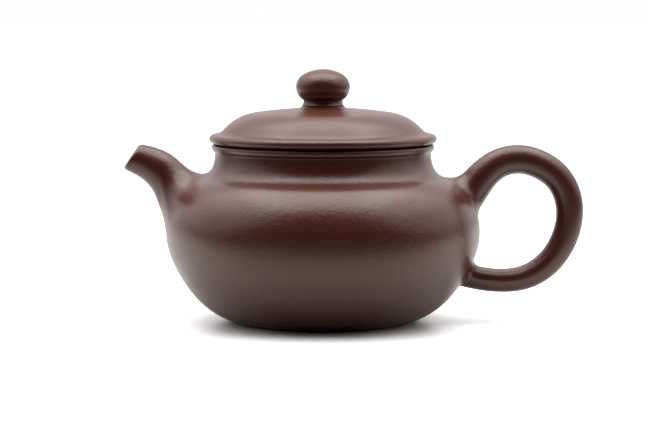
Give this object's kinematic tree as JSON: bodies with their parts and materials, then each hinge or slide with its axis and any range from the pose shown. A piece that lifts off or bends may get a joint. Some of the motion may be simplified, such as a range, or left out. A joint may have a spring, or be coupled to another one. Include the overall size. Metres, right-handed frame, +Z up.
{
  "type": "teapot",
  "caption": "Low rounded clay teapot with a short curved spout, a round ear handle, a waisted neck, a strainer behind the spout and a lift-off domed lid with a button knob.",
  "frame": {"origin": "centre of the pot's rest ring, on the table plane", "axes": "+Z up through the knob, +X towards the handle, -X towards the spout, +Y to the far side"},
  "size_m": [0.1468, 0.1, 0.0803],
  "materials": {
    "clay": "burnished unglazed red-brown stoneware, satin"
  },
  "bodies": {
    "pot": {"base_disc": "clay", "body_wall": "clay", "shoulder": "clay", "neck": "clay", "mouth_rim": "clay", "spout": "clay", "strainer": "clay", "handle": "clay"},
    "lid": {"lid_dome": "clay", "lid_rim": "clay", "lid_flange": "clay", "knob_collar": "clay", "knob": "clay"}
  },
  "joints": [
    {"name": "lid_lift", "type": "slide", "parent": "pot", "child": "lid", "axis": [0, 0, 1], "range_m": [0, 0.06]}
  ]
}
